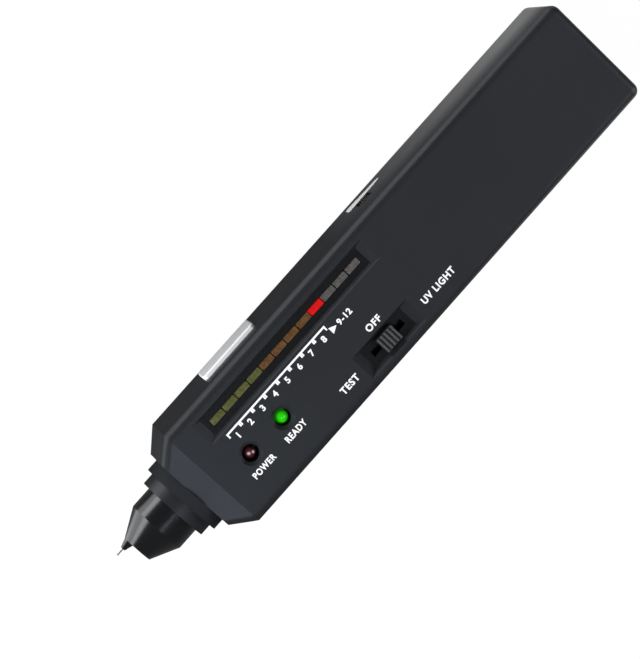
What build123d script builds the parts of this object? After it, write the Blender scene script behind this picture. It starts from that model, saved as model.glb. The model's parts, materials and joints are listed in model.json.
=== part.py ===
from build123d import *
import os

os.makedirs("parts", exist_ok=True)

# Diamond tester, pen shaped, lying on its back. Millimetres.
# X runs along the casing with the probe towards -X, +Z is the face with the lights,
# +Y is the side with the touch plate and the thumbwheel.
# The origin is the centre of the flat back face.

# Nine volt battery, a standard size that sets the casing's section
battery_width = 26.5
battery_thickness = 17.5
battery_can_length = 46.4
battery_terminal_length = 2.1
battery_terminal_spacing = 12.7
battery_edge_rounding = 2.0

# Casing walls and the room around the battery
side_wall = 1.8
front_wall = 1.8
back_wall = 2.0
butt_wall = 1.8
nose_wall = 3.0
battery_side_gap = 0.2
battery_back_gap = 0.2
battery_front_gap = 0.5
battery_end_gap = 0.25
partition_thickness = 1.2
running_gap = 0.1
fit_gap = 0.05
overrun = 2.0

# Snap that the battery plugs into
plus_terminal_radius = 2.9
minus_terminal_radius = 4.2
snap_thickness = 3.4
snap_side_inset = 0.75
snap_height = 11.0
snap_battery_gap = 0.2

# Thumbwheel, the last of the parts between the nose and the battery
wheel_offset = 78.6
wheel_radius = 8.0
wheel_thickness = 2.5
wheel_partition_gap = 1.85

# Casing form
front_rounding = 2.1
back_rounding = 2.0
butt_corner_radius = 2.2
nose_cut_length = 5.6
nose_cut_width = 4.55
nose_cut_rounding = 0.6
bevel_length = 5.55
bevel_drop = 1.0
end_edge_chamfer = 0.6

body_width = battery_width + 2 * (battery_side_gap + side_wall)
body_depth = back_wall + battery_back_gap + battery_thickness + battery_front_gap + front_wall
compartment_length = battery_end_gap + battery_can_length + snap_battery_gap + snap_thickness
electronics_length = wheel_offset + wheel_radius + wheel_partition_gap - nose_wall
body_length = (
    nose_wall + electronics_length + partition_thickness + snap_battery_gap + compartment_length + butt_wall
)
nose_x = -body_length / 2
butt_x = body_length / 2
inner_half_width = body_width / 2 - side_wall
front_inner_z = body_depth - front_wall
bay_start_x = nose_x + nose_wall
partition_x = bay_start_x + electronics_length
partition_end_x = partition_x + partition_thickness
battery_end_x = butt_x - butt_wall - battery_end_gap
battery_face_x = battery_end_x - battery_can_length
battery_z = back_wall + battery_back_gap

# Nose, along an axis parallel to X, a little nearer the front face
nose_axis_rise = 0.2
collar_radius = 10.5
collar_length = 3.0
ring_radius = 9.1
ring_length = 3.0
nose_radius = 7.4
nose_cylinder_length = 5.65
nose_tip_radius = 3.9
nose_cone_length = 6.85
tail_radius = 6.0
tail_length = 6.0
collar_neck_radius = 7.2
collar_lip_radius = 8.2
collar_lip_length = 1.0
nozzle_length = 2.25
nozzle_base_radius = 1.33
nozzle_end_radius = 0.63

nose_axis_z = body_depth / 2 + nose_axis_rise
collar_x = nose_x - collar_length
ring_x = collar_x - ring_length
cone_base_x = ring_x - nose_cylinder_length
nose_face_x = cone_base_x - nose_cone_length
nozzle_x = nose_face_x - nozzle_length
tail_end_x = collar_x + tail_length

# Probe, a spring loaded needle beside the lamp
probe_y = 2.55
needle_radius = 0.22
needle_reach = 2.0
probe_travel = 1.2
plunger_radius = 0.8
plunger_length = 6.0
sleeve_radius = 1.1
sleeve_length = 18.6
sleeve_plug_length = 2.0
sleeve_inset = 0.85
spring_radius = 0.7
spring_wire_radius = 0.14
spring_turns = 3

sleeve_x = nose_face_x + sleeve_inset
plunger_x = sleeve_x + running_gap
spring_x = plunger_x + plunger_length
sleeve_floor_x = sleeve_x + sleeve_length - sleeve_plug_length

# Round lamps with a bevelled lens: a small one in the nose, two in the front face
lens_bevel = 0.6
lamp_y = -1.5
lamp_radius = 1.5
lamp_length = 5.3
lamp_flange_radius = 1.9
lamp_flange_length = 1.0
lamp_inset = 0.15
lead_width = 0.5
lead_pitch = 2.54
lamp_lead_length = 8.0

# Front face, places measured from the nose end and from the long sides
bar_recess_offset = 40.65
bar_recess_side_gap = 3.195
bar_recess_length = 58.6
bar_recess_width = 6.55
bar_recess_depth = 1.4
bar_recess_end_run = 2.25
bar_recess_side_run = 0.8
bar_count = 12
bar_length = 4.1
bar_width = 1.7
bar_spacing = 0.19
bar_inset = 0.05
recess_wall = 1.2
recess_margin = 1.0
indicator_offset = 16.0
indicator_pitch = 11.1
indicator_y = -2.7
indicator_hole_radius = 2.15
indicator_sink_radius = 2.95
indicator_radius = 1.6
indicator_flange_radius = 2.0
indicator_flange_length = 0.8
indicator_inset = 0.95
switch_offset = 57.55
switch_side_gap = 2.45
switch_recess_length = 19.0
switch_recess_width = 7.2
switch_recess_depth = 2.0
switch_recess_end_run = 2.5
switch_recess_side_run = 1.0
switch_travel = 4.2

bar_recess_x = nose_x + bar_recess_offset
bar_recess_y = body_width / 2 - bar_recess_side_gap - bar_recess_width / 2
bar_floor_z = body_depth - bar_recess_depth
bar_pitch = bar_length + bar_spacing
bar_row_length = bar_count * bar_pitch - bar_spacing
indicator_x = nose_x + indicator_offset
switch_x = nose_x + switch_offset
switch_y = -body_width / 2 + switch_side_gap + switch_recess_width / 2
switch_floor_z = body_depth - switch_recess_depth

# Switch and its thumb button
button_length = 5.2
button_width = 4.3
button_proud = 0.3
button_lift = 0.3
button_rounding = 0.5
button_ridges = 5
ridge_width = 0.55
ridge_height = 0.35
stem_length = 2.0
stem_width = 1.6
stem_depth = 1.6
switch_body_length = 15.0
switch_body_width = 5.6
switch_body_gap = 0.4
contact_width = 0.8
contact_pitch = 3.0

# Circuit board and what it carries
board_thickness = 1.2
board_front_room = 5.6
board_start_gap = 3.25
board_end_gap = 1.5
board_side_gap = 0.5
rib_offset = 44.2
rib_pitch = 37.0
rib_length = 1.2
rib_reach = 1.6
chip_width = 6.4
chip_height = 3.2
chip_edge_chamfer = 0.4
chip_y = -3.5
chip_gap = 3.65
driver_length = 22.9
amplifier_length = 9.6
amplifier_wheel_overlap = 0.4
capacitor_radius = 3.15
capacitor_length = 7.5
capacitor_chip_gap = 2.8
capacitor_edge_gap = 1.35
trimmer_size = 6.6
trimmer_height = 5.0
trimmer_screw_radius = 1.6
trimmer_slot_width = 0.6
trimmer_wheel_gap = 6.6
buzzer_radius = 6.0
buzzer_height = 5.0
buzzer_offset = 24.2
buzzer_y = 3.0
sound_slot_length = 7.0
sound_slot_width = 0.9
sound_slot_pitch = 2.4
sound_slot_count = 4

board_front_z = front_inner_z - board_front_room
board_back_z = board_front_z - board_thickness
board_start_x = bay_start_x + board_start_gap
board_end_x = partition_x - board_end_gap
board_length = board_end_x - board_start_x
board_half_width = inner_half_width - board_side_gap
buzzer_x = nose_x + buzzer_offset

# Thumbwheel beside the touch plate, on a pin of its potentiometer
wheel_board_gap = 1.2
wheel_parting_gap = 0.9
wheel_proud = 0.1
wheel_teeth = 36
tooth_depth = 0.3
wheel_pin_radius = 2.0
wheel_rim_gap = 0.12
wheel_slot_gap = 0.35
scoop_radius = 21.0
scoop_depth = 0.25
pot_radius = 5.6
pot_height = 3.2
pot_gap = 0.3
pot_leg_width = 0.8
pot_leg_pitch = 2.5
pot_lug_length = 3.4

wheel_x = nose_x + wheel_offset
wheel_y = body_width / 2 + wheel_proud - wheel_radius
wheel_z = board_back_z - wheel_board_gap - wheel_thickness
wheel_middle_z = wheel_z + wheel_thickness / 2
parting_height = wheel_z - wheel_parting_gap
pot_z = wheel_z - pot_gap - pot_height
amplifier_x = wheel_x - wheel_radius + amplifier_wheel_overlap - amplifier_length / 2
driver_x = amplifier_x - amplifier_length / 2 - chip_gap - driver_length / 2
capacitor_x = driver_x - driver_length / 2 - capacitor_chip_gap - capacitor_length / 2
capacitor_y = -board_half_width + capacitor_edge_gap + capacitor_radius
trimmer_x = wheel_x - wheel_radius - trimmer_wheel_gap - trimmer_size / 2

# Touch plate in its pocket on the +Y side
plate_offset = 30.3
plate_length = 17.4
plate_height = 8.3
plate_foot_height = 6.1
plate_thickness = 1.85
plate_proud = 1.05
plate_gap = 0.25
plate_corner_radius = 1.2
plate_edge_chamfer = 0.35
plate_tab_length = 3.0
plate_tab_height = 0.8
plate_tab_reach = 1.6

plate_x = nose_x + plate_offset
plate_z = plate_foot_height + plate_height / 2
pocket_depth = plate_thickness - plate_proud
plate_tab_z = parting_height + running_gap + plate_tab_height / 2

# Screws and their posts
screw_offset = 12.1
rear_screw_wheel_gap = 5.65
post_radius = 2.5
post_wall_overlap = 0.1
screw_radius = 1.0
screw_head_radius = 2.1
screw_hole_radius = 1.2
screw_sink_radius = 2.4
screw_length = 12.0
screw_bore_depth = 6.5
screw_head_inset = 0.2
screw_slot_length = 2.8
screw_slot_width = 0.6
screw_slot_depth = 0.5
sink_angle = 90

screw_y = inner_half_width - post_radius + post_wall_overlap
screw_places = [
    (nose_x + screw_offset, screw_y),
    (wheel_x - rear_screw_wheel_gap, -screw_y),
]

# Battery cover, a plate that slides off over the butt end on two tongues
cover_side_room = 0.05
cover_gap = 0.05
tongue_reach = 0.6
tongue_thickness = 0.6
tongue_z = 1.2
grip_count = 5
grip_pitch = 1.8
grip_width = 0.8
grip_length = 14.0
grip_depth = 0.4
grip_end_distance = 12.0
lead_notch_width = 6.0
lead_notch_height = 3.0

cover_half_width = battery_width / 2 + cover_side_room
cover_thickness = back_wall - running_gap
cover_x = partition_end_x


# Planes through the nose axis and on the +Y side, whose sketches read (x, z)

along_nose = Plane(origin=(0, 0, nose_axis_z), x_dir=(1, 0, 0), z_dir=(0, -1, 0))
across_nose = Plane(origin=(0, 0, nose_axis_z), x_dir=(0, 1, 0), z_dir=(1, 0, 0))
side_face = Plane.XZ.offset(-body_width / 2)


# Shapes that several pieces share

def casing_outline():
    """Plan of the casing: cut corners at the nose, rounded ones at the butt."""
    with BuildSketch() as outline:
        with BuildLine():
            Polyline(
                (nose_x, body_width / 2 - nose_cut_width),
                (nose_x + nose_cut_length, body_width / 2),
                (butt_x, body_width / 2),
                (butt_x, -body_width / 2),
                (nose_x + nose_cut_length, -body_width / 2),
                (nose_x, -body_width / 2 + nose_cut_width),
                close=True,
            )
        make_face()
        corners = outline.vertices().sort_by(Axis.X)
        fillet(corners[-2:], radius=butt_corner_radius)
        fillet(corners[2:4], radius=nose_cut_rounding)
    return outline.sketch


def inner_outline():
    """Plan of the hollow inside, set in by the walls."""
    with BuildSketch() as inner:
        add(casing_outline())
        offset(amount=-side_wall, kind=Kind.INTERSECTION)
        with Locations((nose_x + nose_wall / 2, 0)):
            Rectangle(nose_wall, body_width, mode=Mode.SUBTRACT)
    return inner.sketch


def sloped_recess(x, y, length, width, depth, end_run, side_run):
    """A recess in the front face whose four walls slope in towards its floor."""
    with BuildPart() as recess:
        with BuildSketch(Plane.XY.offset(body_depth)):
            with Locations((x, y)):
                Rectangle(length, width)
        with BuildSketch(Plane.XY.offset(body_depth - depth)):
            with Locations((x, y)):
                Rectangle(length - 2 * end_run, width - 2 * side_run)
        loft()
    return recess.part


def turned(points):
    """A body turned about the nose axis from (x, radius) points."""
    with BuildPart() as body:
        with BuildSketch(along_nose):
            with BuildLine():
                Polyline(*points, close=True)
            make_face()
        revolve(axis=Axis((0, 0, nose_axis_z), (1, 0, 0)))
    return body.part


def round_lamp(radius, length, flange_radius, flange_length):
    """A lamp standing on Z = 0 with a flange at its foot and a bevelled lens on top."""
    with BuildPart() as lamp:
        with BuildSketch():
            Circle(flange_radius)
        extrude(amount=flange_length)
        with BuildSketch():
            Circle(radius)
        extrude(amount=length)
        chamfer(lamp.faces().sort_by(Axis.Z)[-1].edges(), length=lens_bevel)
    return lamp.part


# Outer form of the casing with both shells still in one

with BuildPart() as casing:
    with BuildSketch():
        add(casing_outline())
    extrude(amount=body_depth)
    with BuildSketch(Plane.XZ):
        with BuildLine():
            Polyline(
                (nose_x, body_depth - bevel_drop),
                (nose_x + bevel_length, body_depth),
                (nose_x, body_depth),
                close=True,
            )
        make_face()
    extrude(amount=body_width, both=True, mode=Mode.SUBTRACT)
    # the rounding runs along the flat front and on down both sides of the bevel
    front_faces = casing.faces().sort_by(Axis.Z)[-2:]
    crease = front_faces[0].edges().sort_by(Axis.X)[-1]
    nose_edge = front_faces[0].edges().sort_by(Axis.X)[0]
    front_edges = [
        edge for face in front_faces for edge in face.edges()
        if not edge.is_same(crease) and not edge.is_same(nose_edge)
    ]
    fillet(front_edges, radius=front_rounding)
    back_edges = casing.faces().sort_by(Axis.Z)[0].edges().sort_by(Axis.X)[1:]
    fillet(back_edges, radius=back_rounding)
    with BuildSketch(Plane.XZ):
        with BuildLine():
            Polyline((nose_x, 0), (nose_x + end_edge_chamfer, 0), (nose_x, end_edge_chamfer), close=True)
        make_face()
    extrude(amount=body_width, both=True, mode=Mode.SUBTRACT)
    with BuildSketch(side_face):
        with Locations((plate_x, plate_z)):
            RectangleRounded(
                plate_length + 2 * plate_gap, plate_height + 2 * plate_gap, plate_corner_radius + plate_gap
            )
    extrude(amount=pocket_depth, mode=Mode.SUBTRACT)
    with Locations((wheel_x, body_width / 2 + scoop_radius - scoop_depth, wheel_middle_z)):
        Sphere(scoop_radius, mode=Mode.SUBTRACT)


# Front shell

with BuildPart() as front_shell:
    add(casing)
    split(bisect_by=Plane.XY.offset(parting_height), keep=Keep.TOP)
    with BuildSketch(Plane.XY.offset(parting_height)):
        add(inner_outline())
    extrude(amount=front_inner_z - parting_height, mode=Mode.SUBTRACT)
    # thicker wall behind each recess
    with BuildSketch(Plane.XY.offset(bar_floor_z - recess_wall)):
        with Locations((bar_recess_x, bar_recess_y)):
            Rectangle(bar_recess_length + 2 * recess_margin, bar_recess_width + 2 * recess_margin)
    extrude(until=Until.NEXT)
    with BuildSketch(Plane.XY.offset(switch_floor_z - recess_wall)):
        with Locations((switch_x, switch_y)):
            Rectangle(switch_recess_length + 2 * recess_margin, switch_recess_width)
    extrude(until=Until.NEXT)
    # screw posts against the side walls
    with BuildSketch(Plane.XY.offset(parting_height)):
        with Locations(*screw_places):
            Circle(post_radius)
    extrude(until=Until.NEXT)
    # ribs on the side walls that the board's edges lie against
    with BuildSketch(Plane.XY.offset(board_front_z)):
        with Locations((nose_x + rib_offset + rib_pitch / 2, 0)):
            with GridLocations(rib_pitch, 2 * inner_half_width - rib_reach, 2, 2):
                Rectangle(rib_length, rib_reach)
    extrude(until=Until.NEXT)
    # partition that keeps the battery off the board
    with BuildSketch(Plane.XY.offset(parting_height)):
        with Locations((partition_x + partition_thickness / 2, 0)):
            Rectangle(partition_thickness, 2 * inner_half_width)
    extrude(until=Until.NEXT)
    add(
        sloped_recess(
            bar_recess_x, bar_recess_y, bar_recess_length, bar_recess_width,
            bar_recess_depth, bar_recess_end_run, bar_recess_side_run,
        ),
        mode=Mode.SUBTRACT,
    )
    add(
        sloped_recess(
            switch_x, switch_y, switch_recess_length, switch_recess_width,
            switch_recess_depth, switch_recess_end_run, switch_recess_side_run,
        ),
        mode=Mode.SUBTRACT,
    )
    # windows through the recess floors
    with BuildSketch(Plane.XY.offset(switch_floor_z - recess_wall)):
        with Locations((bar_recess_x, bar_recess_y)):
            Rectangle(bar_row_length + 2 * running_gap, bar_width + 2 * running_gap)
        with Locations((switch_x, switch_y)):
            Rectangle(stem_length + 2 * (switch_travel + running_gap), stem_width + 2 * running_gap)
    extrude(amount=front_wall + recess_wall, mode=Mode.SUBTRACT)
    with Locations(
        (indicator_x, indicator_y, body_depth),
        (indicator_x + indicator_pitch, indicator_y, body_depth),
    ):
        CounterSinkHole(
            indicator_hole_radius, indicator_sink_radius, depth=front_wall + overrun,
            counter_sink_angle=sink_angle,
        )
    with BuildSketch(Plane.XY.offset(parting_height)):
        with Locations(*screw_places):
            Circle(screw_radius + fit_gap)
    extrude(amount=screw_bore_depth, mode=Mode.SUBTRACT)
    # slots for the thumbwheel and for the touch plate's tab, open at the parting face
    with BuildSketch(Plane.XY.offset(parting_height)):
        with Locations((wheel_x, wheel_y)):
            Circle(wheel_radius + wheel_rim_gap)
    extrude(amount=wheel_z + wheel_thickness + wheel_slot_gap - parting_height, mode=Mode.SUBTRACT)
    with BuildSketch(Plane.XY.offset(parting_height)):
        with Locations((plate_x, inner_half_width)):
            Rectangle(plate_tab_length + 2 * running_gap, 2 * side_wall)
    extrude(amount=plate_tab_height + 2 * running_gap, mode=Mode.SUBTRACT)
    # seat of the nose collar
    with BuildSketch(across_nose.offset(nose_x)):
        Circle(collar_neck_radius + fit_gap)
    extrude(amount=nose_wall, mode=Mode.SUBTRACT)
front_shell.part.label = "front_shell"
export_step(front_shell.part, "parts/front_shell.step")


# Back shell

with BuildPart() as back_shell:
    add(casing)
    split(bisect_by=Plane.XY.offset(parting_height), keep=Keep.BOTTOM)
    with BuildSketch(Plane.XY.offset(back_wall)):
        add(inner_outline())
    extrude(amount=parting_height - back_wall, mode=Mode.SUBTRACT)
    with BuildSketch(Plane.XY.offset(back_wall)):
        with Locations(*screw_places):
            Circle(post_radius)
        with Locations((partition_x + partition_thickness / 2, 0)):
            Rectangle(partition_thickness, 2 * inner_half_width)
    extrude(amount=parting_height - back_wall)
    with Locations(*[Location((x, y, 0), (180, 0, 0)) for x, y in screw_places]):
        CounterSinkHole(screw_hole_radius, screw_sink_radius, counter_sink_angle=sink_angle)
    # way for the battery leads through the partition
    with BuildSketch(Plane.XY.offset(back_wall + lead_notch_height)):
        with Locations((partition_x + partition_thickness / 2, 0)):
            Rectangle(partition_thickness, lead_notch_width)
    extrude(amount=parting_height, mode=Mode.SUBTRACT)
    # doorway for the battery cover, open at the butt end, with a groove along each side
    with BuildSketch(Plane.YZ.offset(cover_x - cover_gap)):
        with Locations((0, back_wall / 2)):
            Rectangle(2 * (cover_half_width + cover_gap), back_wall)
        with Locations((0, tongue_z + tongue_thickness / 2)):
            Rectangle(
                2 * (cover_half_width + tongue_reach + running_gap), tongue_thickness + 2 * cover_gap
            )
    extrude(amount=butt_x - cover_x + overrun, mode=Mode.SUBTRACT)
    # sound slots under the buzzer
    with BuildSketch():
        with Locations((buzzer_x, buzzer_y)):
            with GridLocations(sound_slot_pitch, 0, sound_slot_count, 1):
                Rectangle(sound_slot_width, sound_slot_length)
    extrude(amount=back_wall, mode=Mode.SUBTRACT)
    with BuildSketch(across_nose.offset(nose_x)):
        Circle(collar_neck_radius + fit_gap)
    extrude(amount=nose_wall, mode=Mode.SUBTRACT)
back_shell.part.label = "back_shell"
export_step(back_shell.part, "parts/back_shell.step")


# Battery cover

with BuildPart() as battery_cover:
    add(casing)
    with BuildSketch(Plane.YZ.offset(cover_x)):
        with Locations((0, cover_thickness / 2)):
            Rectangle(2 * cover_half_width, cover_thickness)
        with Locations((0, tongue_z + tongue_thickness / 2)):
            Rectangle(2 * (cover_half_width + tongue_reach), tongue_thickness)
    extrude(amount=butt_x - cover_x, mode=Mode.INTERSECT)
    with BuildSketch():
        with Locations((butt_x - grip_end_distance, 0)):
            with GridLocations(grip_pitch, 0, grip_count, 1):
                Rectangle(grip_width, grip_length)
    extrude(amount=grip_depth, mode=Mode.SUBTRACT)
battery_cover.part.label = "battery_cover"
export_step(battery_cover.part, "parts/battery_cover.step")


# Touch plate standing proud of its pocket, with the tab that holds it in the wall

with BuildPart() as touch_plate:
    with BuildSketch(side_face.offset(-plate_proud)):
        with Locations((plate_x, plate_z)):
            RectangleRounded(plate_length, plate_height, plate_corner_radius)
    extrude(amount=plate_thickness)
    chamfer(touch_plate.faces().sort_by(Axis.Y)[-1].edges(), length=plate_edge_chamfer)
    with BuildSketch(side_face.offset(pocket_depth)):
        with Locations((plate_x, plate_tab_z)):
            Rectangle(plate_tab_length, plate_tab_height)
    extrude(amount=plate_tab_reach)
touch_plate.part.label = "touch_plate"
export_step(touch_plate.part, "parts/touch_plate.step")


# Nose collar, clamped between the shells, and the nose cone plugged into it

nose_collar_part = turned(
    [
        (collar_x, tail_radius + fit_gap),
        (collar_x, collar_radius),
        (nose_x, collar_radius),
        (nose_x, collar_neck_radius),
        (bay_start_x + running_gap, collar_neck_radius),
        (bay_start_x + running_gap, collar_lip_radius),
        (bay_start_x + running_gap + collar_lip_length, collar_lip_radius),
        (bay_start_x + running_gap + collar_lip_length, tail_radius + fit_gap),
    ]
)
with BuildPart() as nose_collar:
    add(nose_collar_part)
nose_collar.part.label = "nose_collar"
export_step(nose_collar.part, "parts/nose_collar.step")

with BuildPart() as nose_cone:
    add(
        turned(
            [
                (nose_face_x, 0),
                (nose_face_x, nose_tip_radius),
                (cone_base_x, nose_radius),
                (ring_x, nose_radius),
                (ring_x, ring_radius),
                (collar_x, ring_radius),
                (collar_x, tail_radius),
                (tail_end_x, tail_radius),
                (tail_end_x, 0),
            ]
        )
    )
    with Locations(Location(((nose_face_x + nozzle_x) / 2, probe_y, nose_axis_z), (0, -90, 0))):
        Cone(nozzle_base_radius, nozzle_end_radius, nozzle_length)
    with BuildSketch(across_nose.offset(sleeve_x - fit_gap)):
        with Locations((probe_y, 0)):
            Circle(sleeve_radius + fit_gap)
    extrude(amount=tail_end_x - sleeve_x + overrun, mode=Mode.SUBTRACT)
    with BuildSketch(across_nose.offset(nozzle_x)):
        with Locations((probe_y, 0)):
            Circle(needle_radius + fit_gap)
    extrude(amount=nozzle_length + sleeve_inset, mode=Mode.SUBTRACT)
    with BuildSketch(across_nose.offset(nose_face_x)):
        with Locations((lamp_y, 0)):
            Circle(lamp_radius + fit_gap)
    extrude(amount=lamp_length, mode=Mode.SUBTRACT)
    with BuildSketch(across_nose.offset(nose_face_x + lamp_inset + lamp_length - lamp_flange_length)):
        with Locations((lamp_y, 0)):
            Circle(lamp_flange_radius + fit_gap)
    extrude(amount=tail_end_x - nose_face_x, mode=Mode.SUBTRACT)
nose_cone.part.label = "nose_cone"
export_step(nose_cone.part, "parts/nose_cone.step")


# Probe: a blind sleeve, the needle on its plunger, and the spring behind it

with BuildPart() as probe_sleeve:
    with BuildSketch(across_nose.offset(sleeve_x)):
        with Locations((probe_y, 0)):
            Circle(sleeve_radius)
    extrude(amount=sleeve_length)
    with BuildSketch(across_nose.offset(sleeve_x)):
        with Locations((probe_y, 0)):
            Circle(plunger_radius + fit_gap)
    extrude(amount=sleeve_length - sleeve_plug_length, mode=Mode.SUBTRACT)
probe_sleeve.part.label = "probe_sleeve"
export_step(probe_sleeve.part, "parts/probe_sleeve.step")

with BuildPart() as probe_needle:
    with BuildSketch(across_nose.offset(plunger_x)):
        with Locations((probe_y, 0)):
            Circle(plunger_radius)
    extrude(amount=plunger_length)
    with BuildSketch(across_nose.offset(nozzle_x - needle_reach)):
        with Locations((probe_y, 0)):
            Circle(needle_radius)
    extrude(amount=plunger_x - nozzle_x + needle_reach)
probe_needle.part.label = "probe_needle"
export_step(probe_needle.part, "parts/probe_needle.step")

spring_length = sleeve_floor_x - spring_x - 2 * (spring_wire_radius + fit_gap)
with BuildPart() as probe_spring:
    with BuildLine() as coil_line:
        Helix(
            pitch=spring_length / spring_turns,
            height=spring_length,
            radius=spring_radius,
            center=(spring_x + spring_wire_radius + fit_gap, probe_y, nose_axis_z),
            direction=(1, 0, 0),
        )
    with BuildSketch(Plane(origin=coil_line.line @ 0, z_dir=coil_line.line % 0)):
        RegularPolygon(spring_wire_radius, 4)
    sweep()
probe_spring.part.label = "probe_spring"
export_step(probe_spring.part, "parts/probe_spring.step")


# Ultraviolet lamp in the nose, looking forward beside the probe

with BuildPart() as uv_lamp:
    with Locations(Location((nose_face_x + lamp_inset + lamp_length, lamp_y, nose_axis_z), (0, -90, 0))):
        add(round_lamp(lamp_radius, lamp_length, lamp_flange_radius, lamp_flange_length))
    with BuildSketch(across_nose.offset(nose_face_x + lamp_inset + lamp_length)):
        with GridLocations(0, lead_pitch, 1, 2):
            with Locations((lamp_y, 0)):
                Rectangle(lead_width, lead_width)
    extrude(amount=lamp_lead_length)
uv_lamp.part.label = "uv_lamp"
export_step(uv_lamp.part, "parts/uv_lamp.step")


# Circuit board, cut away around the screw posts

with BuildPart() as main_board:
    with BuildSketch(Plane.XY.offset(board_back_z)):
        with Locations((board_start_x + board_length / 2, 0)):
            Rectangle(board_length, 2 * board_half_width)
        with Locations(*screw_places):
            Circle(post_radius + board_side_gap, mode=Mode.SUBTRACT)
        with Locations((wheel_x, wheel_y)):
            Circle(wheel_pin_radius + board_side_gap, mode=Mode.SUBTRACT)
    extrude(amount=board_thickness)
main_board.part.label = "main_board"
export_step(main_board.part, "parts/main_board.step")


# Row of bar lamps, each standing on the board with its top in the window

bar_x = bar_recess_x - bar_row_length / 2 + bar_length / 2
bar_height = bar_floor_z - bar_inset - board_front_z
for bar_index in range(bar_count):
    with BuildPart() as bar_lamp:
        with BuildSketch(Plane.XY.offset(board_front_z)):
            with Locations((bar_x + bar_index * bar_pitch, bar_recess_y)):
                Rectangle(bar_length, bar_width)
        extrude(amount=bar_height)
    bar_name = f"bar_lamp_{bar_index + 1:02d}"
    bar_lamp.part.label = bar_name
    export_step(bar_lamp.part, f"parts/{bar_name}.step")


# Power and ready lamps below their holes

indicator_height = body_depth - indicator_inset - board_front_z
for lamp_index, lamp_name in enumerate(["power_lamp", "ready_lamp"]):
    with BuildPart() as indicator_lamp:
        with Locations((indicator_x + lamp_index * indicator_pitch, indicator_y, board_front_z)):
            add(
                round_lamp(
                    indicator_radius, indicator_height, indicator_flange_radius, indicator_flange_length
                )
            )
    indicator_lamp.part.label = lamp_name
    export_step(indicator_lamp.part, f"parts/{lamp_name}.step")


# Slide switch on the board and the ribbed button that moves in its recess

switch_top_z = switch_floor_z - recess_wall - switch_body_gap
button_z = switch_floor_z + button_lift
button_top_z = body_depth + button_proud - ridge_height
stem_end_z = switch_top_z - stem_depth

with BuildPart() as switch_body:
    with BuildSketch(Plane.XY.offset(board_front_z)):
        with Locations((switch_x, switch_y)):
            Rectangle(switch_body_length, switch_body_width)
    extrude(amount=switch_top_z - board_front_z)
    with BuildSketch(Plane.XY.offset(stem_end_z - button_lift)):
        with Locations((switch_x, switch_y)):
            Rectangle(stem_length + 2 * (switch_travel + running_gap), stem_width + 2 * running_gap)
    extrude(amount=stem_depth + button_lift, mode=Mode.SUBTRACT)
switch_body.part.label = "switch_body"
export_step(switch_body.part, "parts/switch_body.step")

with BuildPart() as switch_button:
    with BuildSketch(Plane.XY.offset(button_z)):
        with Locations((switch_x, switch_y)):
            Rectangle(button_length, button_width)
    extrude(amount=button_top_z - button_z)
    fillet(switch_button.edges().filter_by(Axis.Z), radius=button_rounding)
    with BuildSketch(Plane.XY.offset(button_top_z)):
        with Locations((switch_x, switch_y)):
            with GridLocations((button_length - ridge_width) / (button_ridges - 1), 0, button_ridges, 1):
                Rectangle(ridge_width, button_width - 2 * button_rounding)
    extrude(amount=ridge_height)
    with BuildSketch(Plane.XY.offset(stem_end_z)):
        with Locations((switch_x, switch_y)):
            Rectangle(stem_length, stem_width)
    extrude(amount=button_z - stem_end_z)
switch_button.part.label = "switch_button"
export_step(switch_button.part, "parts/switch_button.step")


# Thumbwheel with its milled rim, turning on the pin of the potentiometer

with BuildPart() as thumbwheel:
    with BuildSketch(Plane.XY.offset(wheel_z)):
        with Locations((wheel_x, wheel_y)):
            Circle(wheel_radius)
            with PolarLocations(wheel_radius, wheel_teeth):
                RegularPolygon(tooth_depth, 4, mode=Mode.SUBTRACT)
            Circle(wheel_pin_radius + fit_gap, mode=Mode.SUBTRACT)
    extrude(amount=wheel_thickness)
thumbwheel.part.label = "thumbwheel"
export_step(thumbwheel.part, "parts/thumbwheel.step")

pot_lug_y = wheel_y - wheel_radius - pot_leg_width
with BuildPart() as wheel_pot:
    with BuildSketch(Plane.XY.offset(pot_z)):
        with Locations((wheel_x, wheel_y)):
            RegularPolygon(pot_radius, 8)
    extrude(amount=pot_height)
    with BuildSketch(Plane.XY.offset(pot_z)):
        with Locations((wheel_x, (pot_lug_y + wheel_y) / 2)):
            Rectangle(2 * (pot_leg_pitch + pot_leg_width), wheel_y - pot_lug_y + 2 * pot_leg_width)
    extrude(amount=pot_leg_width)
    with BuildSketch(Plane.XY.offset(pot_z + pot_height)):
        with Locations((wheel_x, wheel_y)):
            Circle(wheel_pin_radius)
    extrude(amount=pot_gap + wheel_thickness + pot_gap)
    with BuildSketch(Plane.XY.offset(pot_z)):
        with Locations((wheel_x, pot_lug_y)):
            with GridLocations(pot_leg_pitch, 0, 3, 1):
                Rectangle(pot_leg_width, lead_width)
    extrude(amount=board_back_z - pot_z)
wheel_pot.part.label = "wheel_pot"
export_step(wheel_pot.part, "parts/wheel_pot.step")


# Parts on the back of the board

def chip(x, y, length):
    """A chip hanging under the board with a chamfered case."""
    with BuildPart() as case:
        with BuildSketch(Plane.XY.offset(board_back_z - chip_height)):
            with Locations((x, y)):
                Rectangle(length, chip_width)
        extrude(amount=chip_height)
        chamfer(case.faces().sort_by(Axis.Z)[0].edges(), length=chip_edge_chamfer)
    return case.part


with BuildPart() as driver_chip:
    add(chip(driver_x, chip_y, driver_length))
driver_chip.part.label = "driver_chip"
export_step(driver_chip.part, "parts/driver_chip.step")

with BuildPart() as amplifier_chip:
    add(chip(amplifier_x, chip_y, amplifier_length))
amplifier_chip.part.label = "amplifier_chip"
export_step(amplifier_chip.part, "parts/amplifier_chip.step")

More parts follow.
